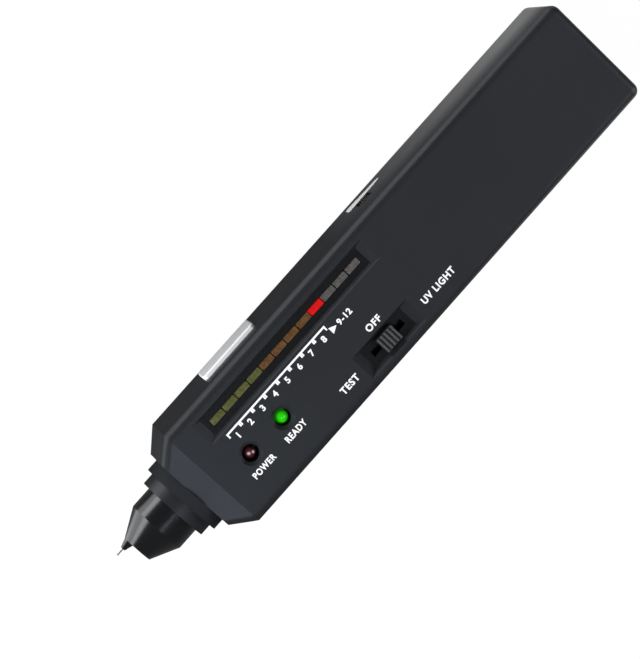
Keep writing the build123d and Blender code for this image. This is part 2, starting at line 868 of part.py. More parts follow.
with BuildPart() as filter_capacitor:
    with BuildSketch(Plane.YZ.offset(capacitor_x - capacitor_length / 2)):
        with Locations((capacitor_y, board_back_z - capacitor_radius)):
            Circle(capacitor_radius)
    extrude(amount=capacitor_length)
filter_capacitor.part.label = "filter_capacitor"
export_step(filter_capacitor.part, "parts/filter_capacitor.step")

with BuildPart() as zero_trimmer:
    with BuildSketch(Plane.XY.offset(board_back_z - trimmer_height)):
        with Locations((trimmer_x, wheel_y)):
            Rectangle(trimmer_size, trimmer_size)
    extrude(amount=trimmer_height)
    with BuildSketch(Plane.XY.offset(board_back_z - trimmer_height)):
        with Locations((trimmer_x, wheel_y)):
            Circle(trimmer_screw_radius)
            Rectangle(2 * trimmer_screw_radius, trimmer_slot_width, mode=Mode.SUBTRACT)
    extrude(amount=trimmer_slot_width, mode=Mode.SUBTRACT)
zero_trimmer.part.label = "zero_trimmer"
export_step(zero_trimmer.part, "parts/zero_trimmer.step")

with BuildPart() as buzzer:
    with BuildSketch(Plane.XY.offset(back_wall)):
        with Locations((buzzer_x, buzzer_y)):
            Circle(buzzer_radius)
    extrude(amount=buzzer_height)
buzzer.part.label = "buzzer"
export_step(buzzer.part, "parts/buzzer.step")


# Battery and the snap on its terminals

battery_middle_z = battery_z + battery_thickness / 2
with BuildPart() as battery:
    with BuildSketch(Plane.YZ.offset(battery_face_x)):
        with Locations((0, battery_middle_z)):
            RectangleRounded(battery_width, battery_thickness, battery_edge_rounding)
    extrude(amount=battery_can_length)
    with BuildSketch(Plane.YZ.offset(battery_face_x)):
        with Locations((battery_terminal_spacing / 2, battery_middle_z)):
            Circle(plus_terminal_radius)
        with Locations((-battery_terminal_spacing / 2, battery_middle_z)):
            RegularPolygon(minus_terminal_radius, 6)
    extrude(amount=-battery_terminal_length)
battery.part.label = "battery"
export_step(battery.part, "parts/battery.step")

with BuildPart() as battery_snap:
    with BuildSketch(Plane.YZ.offset(battery_face_x - snap_battery_gap - snap_thickness)):
        with Locations((0, battery_middle_z)):
            Rectangle(battery_width - 2 * snap_side_inset, snap_height)
    extrude(amount=snap_thickness)
    with BuildSketch(Plane.YZ.offset(battery_face_x)):
        with Locations((battery_terminal_spacing / 2, battery_middle_z)):
            Circle(plus_terminal_radius + running_gap)
        with Locations((-battery_terminal_spacing / 2, battery_middle_z)):
            RegularPolygon(minus_terminal_radius + running_gap, 6)
    extrude(amount=-(battery_terminal_length + running_gap), mode=Mode.SUBTRACT)
battery_snap.part.label = "battery_snap"
export_step(battery_snap.part, "parts/battery_snap.step")


# Two countersunk screws in one group

with BuildPart() as case_screws:
    with BuildSketch(Plane.XY.offset(screw_head_inset)):
        with Locations(*screw_places):
            Circle(screw_radius)
    extrude(amount=screw_length)
    for x, y in screw_places:
        with Locations((x, y, screw_head_inset + (screw_head_radius - screw_radius) / 2)):
            Cone(screw_head_radius, screw_radius, screw_head_radius - screw_radius)
    with BuildSketch(Plane.XY.offset(screw_head_inset)):
        with Locations(*screw_places):
            Rectangle(screw_slot_length, screw_slot_width)
            Rectangle(screw_slot_width, screw_slot_length)
    extrude(amount=screw_slot_depth, mode=Mode.SUBTRACT)
case_screws.part.label = "case_screws"
export_step(case_screws.part, "parts/case_screws.step")
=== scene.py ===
import json
import math

import bmesh
import bpy
from mathutils import Matrix, Vector


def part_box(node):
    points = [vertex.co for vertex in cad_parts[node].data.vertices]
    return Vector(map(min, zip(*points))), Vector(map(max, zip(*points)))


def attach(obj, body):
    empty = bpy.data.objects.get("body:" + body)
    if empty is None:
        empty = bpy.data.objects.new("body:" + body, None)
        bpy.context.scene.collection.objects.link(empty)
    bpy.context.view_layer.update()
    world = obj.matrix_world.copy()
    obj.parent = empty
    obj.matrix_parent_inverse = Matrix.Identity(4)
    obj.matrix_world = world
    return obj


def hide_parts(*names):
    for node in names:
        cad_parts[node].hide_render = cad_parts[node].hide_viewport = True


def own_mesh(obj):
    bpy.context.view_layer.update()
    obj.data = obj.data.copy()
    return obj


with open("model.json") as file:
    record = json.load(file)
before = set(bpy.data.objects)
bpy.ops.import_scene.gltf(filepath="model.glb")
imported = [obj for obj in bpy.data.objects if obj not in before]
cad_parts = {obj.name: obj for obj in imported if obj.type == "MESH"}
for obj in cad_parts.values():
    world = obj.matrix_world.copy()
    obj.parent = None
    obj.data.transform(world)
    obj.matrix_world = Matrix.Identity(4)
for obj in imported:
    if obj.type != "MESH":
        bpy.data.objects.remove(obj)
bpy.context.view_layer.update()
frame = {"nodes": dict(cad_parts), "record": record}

MM = 0.001
scene = bpy.context.scene
nodes = frame["nodes"]

# Where the casing lies, read from the frame
casing_low, casing_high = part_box("front_shell")
nose_end = casing_low[0]
side_y = casing_high[1]
front_z = casing_high[2]


# Shader helpers

FLOAT = "NodeSocketFloat"
COLOR = "NodeSocketColor"
VECTOR = "NodeSocketVector"


def new_group(name, inputs, outputs):
    """An empty shader node group with named sockets, given as (name, kind, default)."""
    group = bpy.data.node_groups.new(name, "ShaderNodeTree")
    for label, kind, value in inputs:
        socket = group.interface.new_socket(label, in_out="INPUT", socket_type=kind)
        if value is not None:
            socket.default_value = value
    for label, kind in outputs:
        group.interface.new_socket(label, in_out="OUTPUT", socket_type=kind)
    return group, group.nodes.new("NodeGroupInput"), group.nodes.new("NodeGroupOutput")


def noise(tree, coordinate, scale, detail, roughness):
    """A noise texture on a given coordinate."""
    texture = tree.nodes.new("ShaderNodeTexNoise")
    texture.inputs["Detail"].default_value = detail
    texture.inputs["Roughness"].default_value = roughness
    tree.links.new(coordinate, texture.inputs["Vector"])
    if isinstance(scale, float):
        texture.inputs["Scale"].default_value = scale
    else:
        tree.links.new(scale, texture.inputs["Scale"])
    return texture.outputs["Fac"]


def ranged(tree, value, low, high, to_low, to_high):
    """A value remapped from one span to another, held at the ends."""
    node = tree.nodes.new("ShaderNodeMapRange")
    for socket, entry in zip(("From Min", "From Max", "To Min", "To Max"), (low, high, to_low, to_high)):
        if isinstance(entry, (int, float)):
            node.inputs[socket].default_value = entry
        else:
            tree.links.new(entry, node.inputs[socket])
    tree.links.new(value, node.inputs["Value"])
    return node.outputs["Result"]


def mixed(tree, factor, first, second):
    """Two colours mixed by a factor; each may be a value or an output."""
    node = tree.nodes.new("ShaderNodeMix")
    node.data_type = "RGBA"
    tree.links.new(factor, node.inputs["Factor"])
    for socket, entry in (("A", first), ("B", second)):
        if isinstance(entry, tuple):
            node.inputs[socket].default_value = entry
        else:
            tree.links.new(entry, node.inputs[socket])
    return node.outputs["Result"]


def combined(tree, operation, first, second):
    """Two values joined by one operation."""
    node = tree.nodes.new("ShaderNodeMath")
    node.operation = operation
    for index, entry in enumerate((first, second)):
        if isinstance(entry, (int, float)):
            node.inputs[index].default_value = entry
        else:
            tree.links.new(entry, node.inputs[index])
    return node.outputs["Value"]


def spread_around(tree, pattern, spread, middle):
    """A value that a pattern moves up and down around its middle."""
    node = tree.nodes.new("ShaderNodeMath")
    node.operation = "MULTIPLY_ADD"
    tree.links.new(ranged(tree, pattern, 0.3, 0.7, -1.0, 1.0), node.inputs[0])
    tree.links.new(spread, node.inputs[1])
    tree.links.new(middle, node.inputs[2])
    return node.outputs["Value"]


def bumped(tree, height, depth, distance):
    """The normal that a height pattern gives."""
    node = tree.nodes.new("ShaderNodeBump")
    node.inputs["Distance"].default_value = distance
    tree.links.new(depth, node.inputs["Strength"])
    tree.links.new(height, node.inputs["Height"])
    return node.outputs["Normal"]


def object_place(tree):
    """The X, Y and Z of a point in its object's own axes."""
    place = tree.nodes.new("ShaderNodeSeparateXYZ")
    tree.links.new(tree.nodes.new("ShaderNodeTexCoord").outputs["Object"], place.inputs["Vector"])
    return place.outputs


def moulded_finish_group():
    """Spark-eroded grain, gloss patches from handling and a little dust."""
    group, start, end = new_group(
        "moulded_finish",
        [
            ("Color", COLOR, (0.02, 0.02, 0.02, 1.0)),
            ("Worn Color", COLOR, (0.04, 0.04, 0.04, 1.0)),
            ("Roughness", FLOAT, 0.4),
            ("Roughness Spread", FLOAT, 0.1),
            ("Grain Scale", FLOAT, 6000.0),
            ("Grain Depth", FLOAT, 0.1),
            ("Patch Scale", FLOAT, 60.0),
            ("Worn Amount", FLOAT, 0.3),
        ],
        [("Color", COLOR), ("Roughness", FLOAT), ("Normal", VECTOR)],
    )
    coordinate = group.nodes.new("ShaderNodeTexCoord").outputs["Object"]
    grain = noise(group, coordinate, start.outputs["Grain Scale"], 3.0, 0.6)
    patches = noise(group, coordinate, start.outputs["Patch Scale"], 4.0, 0.62)
    worn = ranged(group, patches, 0.42, 0.72, 0.0, start.outputs["Worn Amount"])
    color = mixed(group, worn, start.outputs["Color"], start.outputs["Worn Color"])
    rough = spread_around(group, patches, start.outputs["Roughness Spread"], start.outputs["Roughness"])
    normal = bumped(group, grain, start.outputs["Grain Depth"], 0.02 * MM)
    group.links.new(color, end.inputs["Color"])
    group.links.new(rough, end.inputs["Roughness"])
    group.links.new(normal, end.inputs["Normal"])
    return group


def brushed_finish_group():
    """Fine scratches along one direction and smudges on bare metal."""
    group, start, end = new_group(
        "brushed_finish",
        [
            ("Color", COLOR, (0.8, 0.8, 0.8, 1.0)),
            ("Shade Color", COLOR, (0.6, 0.6, 0.6, 1.0)),
            ("Stretch", VECTOR, (1.0, 1.0, 1.0)),
            ("Scratch Scale", FLOAT, 3000.0),
            ("Roughness", FLOAT, 0.3),
            ("Roughness Spread", FLOAT, 0.08),
            ("Scratch Depth", FLOAT, 0.2),
        ],
        [("Color", COLOR), ("Roughness", FLOAT), ("Normal", VECTOR)],
    )
    coordinate = group.nodes.new("ShaderNodeTexCoord").outputs["Object"]
    stretched = group.nodes.new("ShaderNodeVectorMath")
    stretched.operation = "MULTIPLY"
    group.links.new(coordinate, stretched.inputs[0])
    group.links.new(start.outputs["Stretch"], stretched.inputs[1])
    scratches = noise(group, stretched.outputs["Vector"], start.outputs["Scratch Scale"], 5.0, 0.7)
    smudges = noise(group, coordinate, 140.0, 3.0, 0.55)
    color = mixed(
        group, ranged(group, scratches, 0.35, 0.7, 0.0, 1.0), start.outputs["Color"], start.outputs["Shade Color"]
    )
    rough = spread_around(group, smudges, start.outputs["Roughness Spread"], start.outputs["Roughness"])
    normal = bumped(group, scratches, start.outputs["Scratch Depth"], 0.01 * MM)
    group.links.new(color, end.inputs["Color"])
    group.links.new(rough, end.inputs["Roughness"])
    group.links.new(normal, end.inputs["Normal"])
    return group


def height_mask_group():
    """How far a point has come from one height to another, for surfaces that face up."""
    group, start, end = new_group(
        "height_mask",
        [("Low", FLOAT, 0.0), ("High", FLOAT, 1.0), ("Facing", FLOAT, 0.9)],
        [("Mask", FLOAT)],
    )
    source = group.nodes.new("ShaderNodeTexCoord")
    place = group.nodes.new("ShaderNodeSeparateXYZ")
    group.links.new(source.outputs["Object"], place.inputs["Vector"])
    slope = group.nodes.new("ShaderNodeSeparateXYZ")
    group.links.new(source.outputs["Normal"], slope.inputs["Vector"])
    climb = ranged(group, place.outputs["Z"], start.outputs["Low"], start.outputs["High"], 0.0, 1.0)
    faces = combined(group, "GREATER_THAN", slope.outputs["Z"], start.outputs["Facing"])
    group.links.new(combined(group, "MULTIPLY", climb, faces), end.inputs["Mask"])
    return group


def lamp_core_group():
    """Colour by the distance from an axis, from a core colour in the middle to a rim colour; it paints a lamp's rim
    darker as shade and bright spots on it as highlights.
    """
    group, start, end = new_group(
        "lamp_core",
        [
            ("Centre", VECTOR, (0.0, 0.0, 0.0)),
            ("Inner Radius", FLOAT, 0.001),
            ("Outer Radius", FLOAT, 0.002),
            ("Core Color", COLOR, (1.0, 1.0, 1.0, 1.0)),
            ("Rim Color", COLOR, (0.1, 0.1, 0.1, 1.0)),
        ],
        [("Color", COLOR), ("Mask", FLOAT)],
    )
    coordinate = group.nodes.new("ShaderNodeTexCoord").outputs["Object"]
    away = group.nodes.new("ShaderNodeVectorMath")
    away.operation = "SUBTRACT"
    group.links.new(coordinate, away.inputs[0])
    group.links.new(start.outputs["Centre"], away.inputs[1])
    flat = group.nodes.new("ShaderNodeVectorMath")
    flat.operation = "MULTIPLY"
    flat.inputs[1].default_value = (1.0, 1.0, 0.0)
    group.links.new(away.outputs["Vector"], flat.inputs[0])
    length = group.nodes.new("ShaderNodeVectorMath")
    length.operation = "LENGTH"
    group.links.new(flat.outputs["Vector"], length.inputs[0])
    mask = ranged(
        group, length.outputs["Value"], start.outputs["Inner Radius"], start.outputs["Outer Radius"], 1.0, 0.0
    )
    group.links.new(mixed(group, mask, start.outputs["Rim Color"], start.outputs["Core Color"]), end.inputs["Color"])
    group.links.new(mask, end.inputs["Mask"])
    return group


def seam_mask_group():
    """A fine line round the casing where its two shells meet."""
    group, start, end = new_group(
        "seam_mask",
        [("Height", FLOAT, 0.0), ("Half Width", FLOAT, 0.0001), ("Start", FLOAT, 0.0)],
        [("Mask", FLOAT)],
    )
    place = object_place(group)
    away = combined(group, "SUBTRACT", place["Z"], start.outputs["Height"])
    line = ranged(group, combined(group, "ABSOLUTE", away, 0.0), 0.0, start.outputs["Half Width"], 1.0, 0.0)
    behind = combined(group, "GREATER_THAN", place["X"], start.outputs["Start"])
    group.links.new(combined(group, "MULTIPLY", line, behind), end.inputs["Mask"])
    return group


def stepped_finish_group():
    """Polished in front of a place along X and matt behind it."""
    group, start, end = new_group(
        "stepped_finish",
        [
            ("Color", COLOR, (0.0, 0.0, 0.0, 1.0)),
            ("Roughness", FLOAT, 0.2),
            ("Matt Color", COLOR, (0.0, 0.0, 0.0, 1.0)),
            ("Matt Roughness", FLOAT, 0.5),
            ("Place", FLOAT, 0.0),
        ],
        [("Color", COLOR), ("Roughness", FLOAT), ("Coat", FLOAT)],
    )
    matt = combined(group, "GREATER_THAN", object_place(group)["X"], start.outputs["Place"])
    group.links.new(combined(group, "SUBTRACT", 1.0, matt), end.inputs["Coat"])
    color = mixed(group, matt, start.outputs["Color"], start.outputs["Matt Color"])
    group.links.new(color, end.inputs["Color"])
    rough = ranged(group, matt, 0.0, 1.0, start.outputs["Roughness"], start.outputs["Matt Roughness"])
    group.links.new(rough, end.inputs["Roughness"])
    return group


def edge_roll_group():
    """How far the faces of the casing fall away towards its long edges and towards its front."""
    group, start, end = new_group(
        "edge_roll",
        [
            ("Side Start", FLOAT, 0.0126),
            ("Side Radius", FLOAT, 0.0043),
            ("Front Start", FLOAT, 0.01),
            ("Front Radius", FLOAT, 0.075),
        ],
        [("Height", FLOAT)],
    )
    place = object_place(group)
    falls = []
    for axis, label in (("Y", "Side"), ("Z", "Front")):
        reach = combined(group, "ABSOLUTE", place[axis], 0.0)
        over = combined(group, "SUBTRACT", reach, start.outputs[f"{label} Start"])
        over = combined(group, "MAXIMUM", over, 0.0)
        square = combined(group, "MULTIPLY", over, over)
        falls.append(combined(group, "DIVIDE", square, start.outputs[f"{label} Radius"]))
    total = combined(group, "ADD", falls[0], falls[1])
    group.links.new(combined(group, "MULTIPLY", total, -0.5), end.inputs["Height"])
    return group


moulded_finish = moulded_finish_group()
brushed_finish = brushed_finish_group()
edge_roll = edge_roll_group()
height_mask = height_mask_group()
lamp_core = lamp_core_group()
seam_mask = seam_mask_group()
stepped_finish = stepped_finish_group()


def grey(value, blue=0.0):
    """A neutral colour, or one with a share more of blue."""
    return (value, value * (1 + blue / 3), value * (1 + blue), 1.0)


def placed_group(tree, group, values):
    """A group placed in a material with its own values."""
    node = tree.nodes.new("ShaderNodeGroup")
    node.node_tree = group
    for label, value in values.items():
        node.inputs[label].default_value = value
    return node


def finished_material(name, group, values, metallic=0.0, coat=0.0, specular=0.5, coat_rough=0.03, tint=None):
    """A Principled material whose colour, roughness and normal come from a finish group."""
    material = bpy.data.materials.new(name)
    material.use_nodes = True
    tree = material.node_tree
    shader = tree.nodes["Principled BSDF"]
    finish = placed_group(tree, group, values)
    tree.links.new(finish.outputs["Color"], shader.inputs["Base Color"])
    tree.links.new(finish.outputs["Roughness"], shader.inputs["Roughness"])
    tree.links.new(finish.outputs["Normal"], shader.inputs["Normal"])
    shader.inputs["Metallic"].default_value = metallic
    shader.inputs["Coat Weight"].default_value = coat
    shader.inputs["Coat Roughness"].default_value = coat_rough
    shader.inputs["Specular IOR Level"].default_value = specular
    if tint:
        shader.inputs["Specular Tint"].default_value = tint
    return material


def moulded(name, color, worn, roughness, spread, grain, depth, patch, amount, **options):
    """A moulded plastic."""
    return finished_material(
        name,
        moulded_finish,
        {
            "Color": color,
            "Worn Color": worn,
            "Roughness": roughness,
            "Roughness Spread": spread,
            "Grain Scale": grain,
            "Grain Depth": depth,
            "Patch Scale": patch,
            "Worn Amount": amount,
        },
        **options,
    )


def brushed(name, color, shade, stretch, scale, roughness, spread, depth, **options):
    """A bare or brushed metal."""
    return finished_material(
        name,
        brushed_finish,
        {
            "Color": color,
            "Shade Color": shade,
            "Stretch": stretch,
            "Scratch Scale": scale,
            "Roughness": roughness,
            "Roughness Spread": spread,
            "Scratch Depth": depth,
        },
        **options,
    )


def shaded_where(material, mask_group, values, shade):
    """Give a material a second colour where a mask lies."""
    tree = material.node_tree
    base = tree.nodes["Principled BSDF"].inputs["Base Color"]
    before = base.links[0].from_socket
    mask = placed_group(tree, mask_group, values)
    tree.links.new(mixed(tree, mask.outputs["Mask"], before, shade), base)


def rolled_edges(material, values):
    """Let the flat faces of the casing lean a little towards their edges."""
    tree = material.node_tree
    normal = tree.nodes["Principled BSDF"].inputs["Normal"]
    before = normal.links[0].from_socket
    roll = placed_group(tree, edge_roll, values)
    lean = tree.nodes.new("ShaderNodeBump")
    lean.inputs["Distance"].default_value = 1.0
    tree.links.new(roll.outputs["Height"], lean.inputs["Height"])
    tree.links.new(before, lean.inputs["Normal"])
    tree.links.new(lean.outputs["Normal"], normal)


def matt_behind(material, place, color, roughness):
    """Make a material matt behind a place along X."""
    tree = material.node_tree
    shader = tree.nodes["Principled BSDF"]
    step = placed_group(
        tree, stepped_finish, {"Matt Color": color, "Matt Roughness": roughness, "Place": place}
    )
    tree.links.new(shader.inputs["Base Color"].links[0].from_socket, step.inputs["Color"])
    tree.links.new(shader.inputs["Roughness"].links[0].from_socket, step.inputs["Roughness"])
    tree.links.new(step.outputs["Color"], shader.inputs["Base Color"])
    tree.links.new(step.outputs["Roughness"], shader.inputs["Roughness"])
    tree.links.new(step.outputs["Coat"], shader.inputs["Coat Weight"])


# Plastics

cool_gloss = (0.88, 0.93, 1.0, 1.0)
casing_plastic = moulded(
    "casing_plastic", grey(0.0165, 0.22), grey(0.019, 0.20), 0.36, 0.03, 5200.0, 0.30, 38.0, 0.5, specular=0.30,
    tint=cool_gloss,
)
side_lean_width = 2.7 * MM
side_lean_radius = 9.0 * MM
front_lean_start = 10 * MM
front_lean_radius = 60 * MM
rolled_edges(
    casing_plastic,
    {
        "Side Start": side_y - side_lean_width,
        "Side Radius": side_lean_radius,
        "Front Start": front_lean_start,
        "Front Radius": front_lean_radius,
    },
)
# Painted shade: the up-facing floors of the recesses in the front face are darkened in the casing's colour
recess_shade_start = 1.2 * MM
recess_shade_end = 1.35 * MM
shaded_where(
    casing_plastic,
    height_mask,
    {"Low": front_z - recess_shade_start, "High": front_z - recess_shade_end, "Facing": 0.97},
    grey(0.002, 0.1),
)
seam_half_width = 0.11 * MM
seam_front_gap = 0.01 * MM
shaded_where(
    casing_plastic,
    seam_mask,
    {"Height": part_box("back_shell")[1][2], "Half Width": seam_half_width, "Start": nose_end + seam_front_gap},
    grey(0.001),
)
nose_plastic = moulded(
    "nose_plastic", grey(0.0025, 0.30), grey(0.0038, 0.25), 0.24, 0.03, 2600.0, 0.08, 120.0, 0.5, specular=0.5,
    coat=1.0, coat_rough=0.19, tint=cool_gloss,
)
matt_ring_length = 3.05 * MM
matt_behind(nose_plastic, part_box("nose_collar")[0][0] - matt_ring_length, grey(0.013, 0.15), 0.42)
collar_plastic = moulded(
    "collar_plastic", grey(0.016, 0.18), grey(0.019, 0.16), 0.62, 0.03, 5200.0, 0.30, 38.0, 0.5, specular=0.15,
    tint=cool_gloss,
)
button_plastic = moulded(
    "button_plastic", grey(0.016, 0.06), grey(0.022, 0.06), 0.46, 0.06, 4800.0, 0.25, 260.0, 0.6, specular=0.4
)
# Painted highlight: the up-facing tops of the knob's ridges are painted lighter
ridge_highlight_start = 0.05 * MM
ridge_highlight_end = 0.20 * MM
shaded_where(
    button_plastic,
    height_mask,
    {"Low": front_z + ridge_highlight_start, "High": front_z + ridge_highlight_end, "Facing": 0.6},
    grey(0.062, 0.04),
)
board_laminate = moulded(
    "board_laminate", (0.02, 0.13, 0.05, 1.0), (0.05, 0.20, 0.08, 1.0), 0.32, 0.06, 1800.0, 0.2, 300.0, 0.6
)
chip_plastic = moulded("chip_plastic", grey(0.014), grey(0.02), 0.55, 0.06, 7000.0, 0.4, 200.0, 0.4)
snap_plastic = moulded("snap_plastic", grey(0.018), grey(0.03), 0.6, 0.08, 5200.0, 0.4, 160.0, 0.4)
trimmer_plastic = moulded(
    "trimmer_plastic", (0.03, 0.11, 0.40, 1.0), (0.05, 0.15, 0.45, 1.0), 0.35, 0.05, 4200.0, 0.2, 300.0, 0.5
)
capacitor_sleeve = moulded(
    "capacitor_sleeve", (0.02, 0.03, 0.08, 1.0), (0.03, 0.04, 0.10, 1.0), 0.2, 0.05, 2400.0, 0.1, 260.0, 0.5
)
legend_ink = moulded("legend_ink", grey(0.96), grey(0.86), 0.5, 0.05, 5200.0, 0.2, 900.0, 0.7)

# Metals

plate_metal = brushed(
    "plate_metal", (0.97, 0.97, 0.975, 1.0), (0.88, 0.89, 0.91, 1.0), (0.05, 1.0, 1.0), 5200.0, 0.36, 0.05, 0.2,
    metallic=0.2,
)
probe_metal = brushed(
    "probe_metal", (0.62, 0.60, 0.58, 1.0), (0.40, 0.38, 0.36, 1.0), (1.0, 0.2, 0.2), 9000.0, 0.24, 0.05, 0.1,
    metallic=1.0,
)
spring_steel = brushed(
    "spring_steel", (0.52, 0.52, 0.53, 1.0), (0.36, 0.36, 0.37, 1.0), (1.0, 1.0, 1.0), 6000.0, 0.3, 0.05, 0.1,
    metallic=1.0,
)
switch_can = brushed(
    "switch_can", (0.05, 0.05, 0.052, 1.0), (0.03, 0.03, 0.032, 1.0), (0.2, 1.0, 1.0), 4200.0, 0.5, 0.06, 0.2,
    metallic=1.0,
)
screw_steel = brushed(
    "screw_steel", (0.42, 0.42, 0.44, 1.0), (0.28, 0.28, 0.30, 1.0), (1.0, 1.0, 0.3), 5200.0, 0.34, 0.06, 0.2,
    metallic=1.0,
)
battery_metal = brushed(
    "battery_metal", (0.13, 0.13, 0.14, 1.0), (0.10, 0.10, 0.11, 1.0), (0.1, 1.0, 1.0), 2600.0, 0.34, 0.05, 0.15,
    coat=0.4,
)


# Lamp lenses

def bar_lens(name, color, shade, glow=None, strength=0.0):
    """Milky tinted block of a bar lamp, mottled inside."""
    coat = 0.0 if glow else 0.25
    material = moulded(name, color, shade, 0.30, 0.06, 2400.0, 0.12, 1500.0, 1.0, coat=coat, specular=0.35)
    shader = material.node_tree.nodes["Principled BSDF"]
    if glow:
        shader.inputs["Emission Color"].default_value = glow
        shader.inputs["Emission Strength"].default_value = strength
    return material


def round_lens(name, node, core, rim, inner, outer, glow=0.0, painted_glints=(), painted_glint_color=None):
    """Clear tinted dome, lighter over its middle, with its rim painted darker as shade and bright spots painted on
    it as highlights.
    """
    low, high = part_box(node)
    material = moulded(name, core, core, 0.10, 0.03, 1800.0, 0.05, 900.0, 0.0, coat=0.0 if glow else 0.6)
    tree = material.node_tree
    shader = tree.nodes["Principled BSDF"]
    middle = ((low[0] + high[0]) / 2, (low[1] + high[1]) / 2, 0.0)
    shape = placed_group(
        tree,
        lamp_core,
        {"Centre": middle, "Inner Radius": inner, "Outer Radius": outer, "Core Color": core, "Rim Color": rim},
    )
    for x, y in painted_glints:
        around = shape
        shape = placed_group(
            tree,
            lamp_core,
            {
                "Centre": (middle[0] + x, middle[1] + y, 0.0),
                "Inner Radius": 0.05 * MM,
                "Outer Radius": 0.52 * MM,
                "Core Color": painted_glint_color,
            },
        )
        tree.links.new(around.outputs["Color"], shape.inputs["Rim Color"])
    tree.links.new(shape.outputs["Color"], shader.inputs["Base Color"])
    if glow:
        tree.links.new(shape.outputs["Color"], shader.inputs["Emission Color"])
        shader.inputs["Emission Strength"].default_value = glow
    return material


bar_yellow = bar_lens("bar_yellow", (0.062, 0.067, 0.013, 1.0), (0.125, 0.13, 0.045, 1.0))
bar_orange = bar_lens("bar_orange", (0.092, 0.038, 0.008, 1.0), (0.145, 0.075, 0.025, 1.0))
bar_red = bar_lens("bar_red", (0.070, 0.061, 0.059, 1.0), (0.125, 0.112, 0.108, 1.0))
bar_lit = bar_lens(
    "bar_lit", (0.32, 0.0005, 0.001, 1.0), (0.38, 0.001, 0.002, 1.0), (1.0, 0.0002, 0.002, 1.0), 0.30
)
# Red lamp: its rim is painted darker as shade, and its two bright spots are painted reflections
lamp_red = round_lens(
    "lamp_red", "power_lamp", (0.070, 0.010, 0.016, 1.0), (0.022, 0.006, 0.008, 1.0), 0.7 * MM, 1.6 * MM,
    painted_glints=((0.6 * MM, -0.3 * MM), (-0.45 * MM, 0.25 * MM)), painted_glint_color=(0.62, 0.46, 0.50, 1.0),
)
lamp_green = round_lens(
    "lamp_green", "ready_lamp", (0.012, 0.40, 0.001, 1.0), (0.002, 0.055, 0.001, 1.0), 1.1 * MM, 1.75 * MM, 0.62
)
uv_lens = moulded(
    "uv_lens", (0.42, 0.40, 0.55, 1.0), (0.5, 0.48, 0.62, 1.0), 0.06, 0.02, 1800.0, 0.06, 900.0, 1.0, coat=0.6
)

# The record's slots by name; Blender may number a material whose name the frame has already taken
slot_materials = {
    "casing_plastic": casing_plastic,
    "nose_plastic": nose_plastic,
    "button_plastic": button_plastic,
    "plate_metal": plate_metal,
    "probe_metal": probe_metal,
    "spring_steel": spring_steel,
    "uv_lens": uv_lens,
    "bar_yellow": bar_yellow,
    "bar_orange": bar_orange,
    "bar_lit": bar_lit,
    "bar_red": bar_red,
    "lamp_red": lamp_red,
    "lamp_green": lamp_green,
    "board_laminate": board_laminate,
    "chip_plastic": chip_plastic,
    "trimmer_plastic": trimmer_plastic,
    "capacitor_sleeve": capacitor_sleeve,
    "switch_can": switch_can,
    "battery_metal": battery_metal,
    "snap_plastic": snap_plastic,
    "screw_steel": screw_steel,
    "legend_ink": legend_ink,
}

node_slot = {entry["node"]: entry["material_slot"] for entry in frame["record"]["subparts"]}
for node_name, node_object in nodes.items():
    node_object.data.materials.clear()
    node_object.data.materials.append(slot_materials[node_slot[node_name]])
nodes["nose_collar"].data.materials[0] = collar_plastic


# Finer pieces in place of plain solids

def mesh_piece(name, shape, body, slot_name, smooth=False):
    """A new piece from a bmesh, riding on a body, with a record slot and its material."""
    mesh = bpy.data.meshes.new(name)
    bmesh.ops.recalc_face_normals(shape, faces=shape.faces)
    shape.to_mesh(mesh)
    shape.free()
    if smooth:
        mesh.shade_smooth()
        mesh.set_sharp_from_angle(angle=math.radians(smooth))
    piece = bpy.data.objects.new(name, mesh)
    scene.collection.objects.link(piece)
    mesh.materials.append(slot_materials[slot_name])
    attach(piece, body)
    return piece


def rounded_outline(low, high, radius, steps):
    """Corner-rounded rectangle between two corners, as points in order."""
    points = []
    centres = [
        (high[0] - radius, high[1] - radius, 0),
        (low[0] + radius, high[1] - radius, 90),
        (low[0] + radius, low[1] + radius, 180),
        (high[0] - radius, low[1] + radius, 270),
    ]
    for x, y, turn in centres:
        for step in range(steps + 1):
            angle = math.radians(turn + 90 * step / steps)
            points.append((x + radius * math.cos(angle), y + radius * math.sin(angle)))
    return points


def stacked(rings):
    """A closed skin over rings of points, capped at both ends."""
    shape = bmesh.new()
    loops = [[shape.verts.new(point) for point in ring] for ring in rings]
    shape.faces.new(list(reversed(loops[0])))
    shape.faces.new(loops[-1])
    for lower, upper in zip(loops, loops[1:]):
        for i in range(len(lower)):
            j = (i + 1) % len(lower)
            shape.faces.new((lower[i], lower[j], upper[j], upper[i]))
    return shape


def soft_block(low, high, corner, edge, place):
    """A block with rounded corners and one softened end; place maps (a, b, height) to a point."""
    rings = []
    for inset, height in [(0, low[2]), (0, high[2] - edge)] + [
        (edge * (1 - math.cos(math.radians(15 * step))), high[2] - edge * (1 - math.sin(math.radians(15 * step))))
        for step in range(1, 7)
    ]:
        outline = rounded_outline(
            (low[0] + inset, low[1] + inset), (high[0] - inset, high[1] - inset), max(corner - inset, edge / 4), 5
        )
        rings.append([place(a, b, height) for a, b in outline])
    return stacked(rings)


def upright(x, y, z):
    """A block that stands along Z."""
    return (x, y, z)


def sideways(x, z, y):
    """A block that stands out along Y."""
    return (x, y, z)


# Bar lamps with softened corners, a little shorter than their pitch
bar_trim = 0.04 * MM
bar_corner = 0.22 * MM
bar_edge = 0.07 * MM
bar_names = [name for name in nodes if name.startswith("bar_lamp_")]
for bar_name in sorted(bar_names):
    low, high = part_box(bar_name)
    block = soft_block(
        (low[0] + bar_trim, low[1], low[2]), (high[0] - bar_trim, high[1], high[2]), bar_corner, bar_edge, upright
    )
    lens = mesh_piece(bar_name.replace("lamp", "lens"), block, "casing", node_slot[bar_name], 40)
    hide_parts(bar_name)

# Corners and edges of the blocks that show only a little
slight_corner = 0.1 * MM
slight_edge = 0.05 * MM

